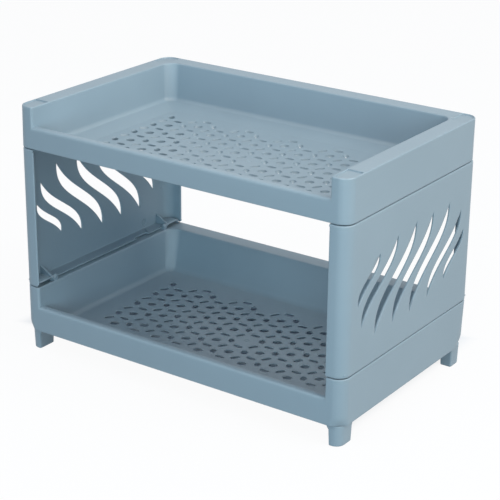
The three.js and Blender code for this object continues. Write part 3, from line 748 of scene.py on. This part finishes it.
def latch():
    """The latch's groove: a loop with a stem in the skin, down over the flange's fillet, and its winding
    tail in the flange. Both fill the window that is left out of the panel's faces there, and reach a
    little under its edges."""
    (y0, y1), top, wall = LATCH_Y, PANEL_BOTTOM + FLANGE_THICK, HALF_WIDTH - SKIN_REACH
    stem = np.linspace((STEM_TOP[0], PANEL_BOTTOM + STEM_TOP[1]), (STEM_END_Y, top), 12)
    loop = np.concatenate([ring(LOOP_MIDDLE[0], PANEL_BOTTOM + LOOP_MIDDLE[1], *LOOP_HALF), stem])
    along_y = np.linspace(y0 - .2, y1 + .2, 60)
    places, depth = grooved(loop, along_y, np.linspace(top, LATCH_TOP + .2, 52), LOOP_DEPTH,
                            lambda places: places[..., 1] - top)
    inside = np.clip(FLANGE_FILLET + top - places[..., 1], 0, FLANGE_FILLET)
    fillet = FLANGE_FILLET - np.sqrt(FLANGE_FILLET ** 2 - inside ** 2)
    face = np.minimum(HALF_WIDTH - PANEL_SKIN, wall - fillet) + depth
    in_skin = np.concatenate([face[..., None], places], axis=-1)
    way = np.linspace(0, 1, 40)
    tail = pair(wall - TAIL_REACH * way, STEM_END_Y + TAIL_DRIFT * way - TAIL_WAVE * np.sin(2 * np.pi * way))
    inner = INNER_X + FLANGE_SETBACK
    corner = wall - FLANGE_FILLET + GROOVE_SINK
    places, depth = grooved(tail, np.linspace(inner + .2, corner, 41), along_y, TAIL_DEPTH,
                            lambda places: corner - places[..., 0])
    in_flange = np.concatenate([places, (top - depth)[..., None]], axis=-1)
    return [patch(in_skin), patch(in_flange, flip=True)]


def latch_window(patches):
    """The patches less the faces whose middle lies in the latch's window: on the inner skin, and on the
    bottom flange's top and fillet."""
    top = PANEL_BOTTOM + FLANGE_THICK
    skin, near = HALF_WIDTH - PANEL_SKIN, .1
    flange_from, flange_to = INNER_X + FLANGE_SETBACK + .5, HALF_WIDTH - SKIN_REACH + near
    boxes = [((skin - near, PANEL_BOTTOM + WALL - near), (skin + near, LATCH_TOP)),
             ((flange_from, top - near), (flange_to, top + FLANGE_FILLET))]
    kept = []
    for points, faces in patches:
        middle = points[faces].mean(axis=1)
        inside = np.zeros(len(faces), bool)
        for (x0, z0), (x1, z1) in boxes:
            inside |= np.all((middle > (x0, LATCH_Y[0], z0)) & (middle < (x1, LATCH_Y[1], z1)), axis=1)
        used, place = np.unique(faces[~inside], return_inverse=True)
        kept.append((points[used], place.reshape(-1, faces.shape[1])))
    return kept


def ejector_rings():
    """The rings that ejector pins left on the inner skin."""
    pins = [ring(y, PANEL_BOTTOM + z, EJECTOR_RADIUS, EJECTOR_RADIUS) for y, z in EJECTOR_PINS]
    return [raised_line(pin, .8, .35) for pin in pins]


def panel_patches():
    """The right side panel; the left one is the same moulding after half a turn."""
    corner = HALF_DEPTH - WALL - np.geomspace(CORNER - WALL, .05, 10)
    straight = np.linspace(-HALF_DEPTH + CORNER, HALF_DEPTH - CORNER, 20)[1:-1]
    y = np.concatenate([-corner[::-1], straight, corner])
    top = flange(PANEL_TOP - WALL, PANEL_TOP, y, np.full(len(y), INNER_X), .5, 0)
    # the bottom flange steps back at the ear, the gusset, the relief over the rim pocket and the latch
    steps = np.repeat([EAR_Y[0] - .4, *GUSSET_Y, RELIEF_END], 2)
    depth = np.repeat([FLANGE_SETBACK, EAR_SETBACK, GUSSET_SETBACK, RELIEF_SETBACK, END_SETBACK], 2)[1:-1]
    notch = np.array([*LATCH_Y, *LATCH_NOTCH])
    notch_depth = FLANGE_SETBACK + LATCH_NOTCH_DEPTH * np.array([0, 0, 0, 1, 1, 0])
    end_y = corner[corner > RELIEF_END]
    low_y = np.concatenate([-end_y[::-1], -steps[::-1], notch, np.linspace(-40, 90, 14), steps, end_y])
    end_depth = np.full(len(end_y), END_SETBACK)
    low_inner = INNER_X + np.concatenate([
        end_depth, depth[::-1], notch_depth, np.full(14, FLANGE_SETBACK), depth, end_depth])
    bottom = flange(PANEL_BOTTOM, PANEL_BOTTOM + FLANGE_THICK, low_y, low_inner, .25, FLANGE_FILLET)
    # a ledge over each relief closes it from above and leaves a dark slit under itself
    ledge = block((INNER_X + 2, GUSSET_Y[1] + .2, PANEL_BOTTOM + 2.4),
                  (HALF_WIDTH - SKIN_REACH, RELIEF_END - .2, PANEL_BOTTOM + 4.2), .25)
    ledges = ledge + [(points * (1, -1, 1), faces[:, ::-1]) for points, faces in ledge]
    pad = block((INNER_X + .1, -60, PANEL_TOP - 1.25), (INNER_X + 3, 60, PANEL_TOP + .7), .2)
    edges = [panel_edge(PANEL_TOP, 1, 1.5), panel_edge(PANEL_BOTTOM, -1, .8)]
    return [*latch_window(skin_with_slots() + bottom), *latch(), *panel_ends(), *edges, *top, *gussets(),
            *ejector_rings(), *pad, *ledges]


# Feet and pins

FOOT_X, FOOT_Y = (183.0, 197.0), (99.0, 122.0)
FOOT_CORNER, FOOT_EDGE = 10.0, 1.6


def foot_ring(sign_x, sign_y, inset, flare, z):
    """Plan of a foot: a rectangle with one large outer corner, drawn in and flared on its inner sides."""
    x0, x1 = FOOT_X[0] + inset - flare, FOOT_X[1] - inset
    y0, y1 = FOOT_Y[0] + inset - flare / 2, FOOT_Y[1] - inset
    turn = np.linspace(0, np.pi / 2, 7)
    points = []
    corners = [(x1, y1, -1, -1, FOOT_CORNER - inset), (x0, y1, 1, -1, FOOT_EDGE), (x0, y0, 1, 1, FOOT_EDGE),
               (x1, y0, -1, 1, FOOT_EDGE)]
    for start, (x, y, into_x, into_y, radius) in enumerate(corners):
        angle = turn + start * np.pi / 2
        points.append(pair(x + radius * (into_x + np.cos(angle)), y + radius * (into_y + np.sin(angle))))
    plan = np.concatenate(points) * (sign_x, sign_y)
    return at_height(plan if sign_x * sign_y > 0 else plan[::-1], z)


def foot_patches(sign_x, sign_y):
    """Tapered foot with rounded bottom edges, an inner bracket and a spigot that goes up into the tray."""
    # inset, flare and height, from the ground up
    levels = [(1.5, 0, 0), (1.1, 0, .06), (.8, 0, .3), (.7, 0, .8), (.65, 0, 2.5), (.2, 0, FOOT_TOP - 5.5),
              (.15, .3, FOOT_TOP - 4.8), (0, 2.7, FOOT_TOP - 1), (0, 3, FOOT_TOP - .4), (.4, 2.8, FOOT_TOP),
              (2.5, 0, FOOT_TOP), (2.6, 0, FOOT_TOP + .1), (3.0, 0, FOOT_TOP + 7.2), (3.8, 0, FOOT_TOP + 8)]
    rings = [foot_ring(sign_x, sign_y, *level) for level in levels]
    return [loft(rings), lid(rings[0], flip=True), lid(rings[-1])]


def pin_patches(sign_x, sign_y):
    """Hinge pin along Y: a round bar with chamfered ends."""
    turn = np.linspace(0, 2 * np.pi, 25)[:-1]
    start, end = PIN_Y
    tip = PIN_RADIUS - PIN_CHAMFER
    sections = [(tip, start), (PIN_RADIUS, start + PIN_CHAMFER), (PIN_RADIUS, end - PIN_CHAMFER), (tip, end)]
    rings = [np.column_stack([sign_x * HINGE_X + radius * np.cos(turn), np.full(24, sign_y * y),
                              HINGE_Z + radius * np.sin(turn)])
             for radius, y in sections]
    return [loft(rings, flip=sign_y > 0), lid(rings[0], flip=sign_y < 0), lid(rings[-1], flip=sign_y > 0)]


# Materials

def linear(code):
    """Linear colour of an sRGB hex value."""
    value = np.array([int(code[i:i + 2], 16) for i in (1, 3, 5)]) / 255
    return (*np.where(value <= .04045, value / 12.92, ((value + .055) / 1.055) ** 2.4), 1.0)


def add(tree, kind, inputs=(), **settings):
    """Adds one node with its settings; an input is a value or another node's output."""
    made = tree.nodes.new(kind)
    for name, value in settings.items():
        setattr(made, name, value)
    for name, value in dict(inputs).items():
        if isinstance(value, bpy.types.NodeSocket):
            tree.links.new(value, made.inputs[name])
        else:
            made.inputs[name].default_value = value
    return made


def moulded_polypropylene(name, colour, paler, roughness):
    """Polypropylene from an etched mould: an even, slightly waxy satin. The eye sees soft wide highlights,
    a very fine grain and the faint clouding of pigment that flowed from the gate."""
    material = bpy.data.materials.new(name)
    material.use_nodes = True
    tree = material.node_tree
    tree.nodes.clear()
    place = add(tree, "ShaderNodeTexCoord").outputs["Object"]
    # clouds of pigment, about 60 mm across
    cloud = add(tree, "ShaderNodeTexNoise", {"Vector": place, "Scale": 1 / .06, "Detail": 2.0})
    tint = add(tree, "ShaderNodeValToRGB", {"Fac": cloud.outputs["Fac"]})
    tint.color_ramp.elements[0].position, tint.color_ramp.elements[1].position = .3, .7
    tint.color_ramp.elements[0].color, tint.color_ramp.elements[1].color = linear(colour), linear(paler)
    # the etched grain is about 0.15 mm, too fine to show, so it is drawn 0.9 mm across
    grain = add(tree, "ShaderNodeTexNoise", {"Vector": place, "Scale": 1 / .0009, "Detail": 1.0})
    bump = add(tree, "ShaderNodeBump", {"Height": grain.outputs["Fac"], "Strength": .12, "Distance": .00005})
    gloss = add(tree, "ShaderNodeMapRange", {
        "Value": grain.outputs["Fac"], "From Min": .3, "From Max": .7, "To Min": roughness - .04,
        "To Max": roughness + .04})
    shader = add(tree, "ShaderNodeBsdfPrincipled", {
        "Base Color": tint.outputs["Color"], "Roughness": gloss.outputs["Result"],
        "Normal": bump.outputs["Normal"], "IOR": 1.49, "Specular IOR Level": .8})
    add(tree, "ShaderNodeOutputMaterial", {"Surface": shader.outputs["BSDF"]})
    return material


GREY_BLUE, PALER = "#7f98a7", "#829baa"
tray_plastic = moulded_polypropylene("tray_polypropylene_satin", GREY_BLUE, PALER, .5)
panel_plastic = moulded_polypropylene("panel_polypropylene_satin", GREY_BLUE, PALER, .5)
foot_plastic = moulded_polypropylene("foot_polypropylene_satin", GREY_BLUE, PALER, .5)
pin_plastic = moulded_polypropylene("pin_polypropylene_smooth", "#7c95a4", GREY_BLUE, .42)

lower, upper = tray_patches(LOWER) + ears(LOWER), tray_patches(UPPER) + ribs(UPPER)
piece("lower_tray_moulding", lower, "base", ["lower_tray"], tray_plastic)
piece("upper_tray_moulding", upper, "upper_tray", ["upper_tray"], tray_plastic)
panel = panel_patches()
piece("right_panel_moulding", panel, "right_panel", ["right_panel"], panel_plastic)
piece("left_panel_moulding", turned(panel), "left_panel", ["left_panel"], panel_plastic)
for end, sign_y in (("front", -1), ("back", 1)):
    for side, sign_x in (("left", -1), ("right", 1)):
        corner = f"{end}_{side}"
        foot, pin = foot_patches(sign_x, sign_y), pin_patches(sign_x, sign_y)
        piece(f"{corner}_foot_moulding", foot, "base", [f"{corner}_foot"], foot_plastic)
        piece(f"{corner}_pin_bar", pin, "base", [f"{corner}_hinge_pin"], pin_plastic)


# Studio

# Metres
FLOOR_REACH, FLOOR_DROP = 30.0, .0002
SHADOW_MIDDLE, SHADOW_HALF = (-.035, .05), (.215, .13)
LAMP_AIM = (0, 0, .15)
WARM, COOL = "#fff1e3", "#e1f9ff"


def seen_ray(tree):
    """One for rays from the camera and for mirrored or transmitted ones, and nought for others."""
    path = add(tree, "ShaderNodeLightPath")
    seen = path.outputs["Is Camera Ray"]
    for kind in ("Is Glossy Ray", "Is Transmission Ray"):
        seen = add(tree, "ShaderNodeMath", {0: seen, 1: path.outputs[kind]}, operation="MAXIMUM").outputs[0]
    return seen


def pale_floor():
    """Wide flat floor: white with a soft shadow where it is seen, grey for the light that it sends up."""
    mesh = bpy.data.meshes.new("studio_floor")
    a, z = FLOOR_REACH, -FLOOR_DROP
    mesh.from_pydata([(-a, -a, z), (a, -a, z), (a, a, z), (-a, a, z)], [], [(0, 1, 2, 3)])
    material = bpy.data.materials.new("studio_white")
    material.use_nodes = True
    tree = material.node_tree
    tree.nodes.clear()
    paint = add(tree, "ShaderNodeBsdfDiffuse", {"Color": linear("#cfe2f2")})
    glow = add(tree, "ShaderNodeEmission", {"Color": (1, 1, 1, 1), "Strength": 1.0})
    # the ground under the rack and close behind it keeps its full shadow, in a soft-edged rectangle
    place = add(tree, "ShaderNodeTexCoord").outputs["Object"]
    moved = add(tree, "ShaderNodeVectorMath", {0: place, 1: (*SHADOW_MIDDLE, 0)}, operation="SUBTRACT")
    scaled = add(tree, "ShaderNodeVectorMath", {0: moved.outputs["Vector"], 1: (*SHADOW_HALF, 1)},
                 operation="DIVIDE")
    away = add(tree, "ShaderNodeVectorMath", {0: scaled.outputs["Vector"]}, operation="ABSOLUTE")
    sides = add(tree, "ShaderNodeSeparateXYZ", {"Vector": away.outputs["Vector"]})
    edge = add(tree, "ShaderNodeMath", {0: sides.outputs["X"], 1: sides.outputs["Y"]}, operation="MAXIMUM")
    clear = add(tree, "ShaderNodeMapRange", {
        "Value": edge.outputs[0], "From Min": .78, "From Max": 1.05, "To Min": 0, "To Max": .95},
        interpolation_type="SMOOTHSTEP")
    pale = add(tree, "ShaderNodeMixShader", {
        "Fac": clear.outputs["Result"], 1: paint.outputs["BSDF"], 2: glow.outputs["Emission"]})
    dull = add(tree, "ShaderNodeBsdfDiffuse", {"Color": linear("#747474")})
    mix = add(tree, "ShaderNodeMixShader", {
        "Fac": seen_ray(tree), 1: dull.outputs["BSDF"], 2: pale.outputs["Shader"]})
    add(tree, "ShaderNodeOutputMaterial", {"Surface": mix.outputs["Shader"]})
    mesh.materials.append(material)
    floor = bpy.data.objects.new("studio_floor", mesh)
    bpy.context.scene.collection.objects.link(floor)


def soft_lamp(name, place, size, watts, tint):
    """Square area lamp at a place in metres, turned towards the rack's middle."""
    lamp = bpy.data.lights.new(name, "AREA")
    lamp.shape, lamp.size, lamp.energy = "SQUARE", size, watts
    lamp.color = linear(tint)[:3]
    made = bpy.data.objects.new(name, lamp)
    back = np.array(place, float) - LAMP_AIM
    back /= np.linalg.norm(back)
    right = np.cross((0, 0, 1), back)
    right /= np.linalg.norm(right)
    up = np.cross(back, right)
    turn = np.eye(4)
    turn[:3, 0], turn[:3, 1], turn[:3, 2], turn[:3, 3] = right, up, back, place
    made.matrix_world = Matrix(turn.tolist())
    bpy.context.scene.collection.objects.link(made)


pale_floor()
soft_lamp("right_high", (1.7, .1, 2.0), 1.4, 26.5, WARM)
soft_lamp("right_window", (2.4, 0, 1.0), 1.4, 24.3, WARM)
soft_lamp("overhead", (.2, .3, 2.4), 2.0, 16.6, WARM)
soft_lamp("front_high", (-.5, -1.3, 1.6), .7, 4.9, WARM)
soft_lamp("front_top", (.35, -.65, .9), .35, 1.3, WARM)
soft_lamp("front_low", (.3, -2.4, .2), .8, 10.8, COOL)
soft_lamp("front_near", (.8, -1.2, .35), .5, 5.4, COOL)

world = bpy.data.worlds.new("studio_world")
bpy.context.scene.world = world
world.use_nodes = True
tree = world.node_tree
tree.nodes.clear()
ambient = add(tree, "ShaderNodeBackground", {"Color": linear("#e1e9ff"), "Strength": .436})
white = add(tree, "ShaderNodeBackground", {"Color": (1, 1, 1, 1), "Strength": 1.0})
sky = add(tree, "ShaderNodeMixShader", {
    "Fac": seen_ray(tree), 1: ambient.outputs["Background"], 2: white.outputs["Background"]})
add(tree, "ShaderNodeOutputWorld", {"Surface": sky.outputs["Shader"]})

# The camera stands where the rack's edges run as in the photograph; the lens is for a 36 mm wide image
lens = bpy.data.cameras.new("studio_camera")
lens.sensor_fit, lens.sensor_width, lens.lens, lens.shift_x = "HORIZONTAL", 36.0, 113.61, -.001
camera = bpy.data.objects.new("studio_camera", lens)
camera.location = (.8858, -1.26035, .72564)
camera.rotation_euler = np.radians((68.5076, -.5480, 35.1211))
bpy.context.scene.collection.objects.link(camera)
bpy.context.scene.camera = camera

bpy.context.scene.view_settings.view_transform = "Standard"
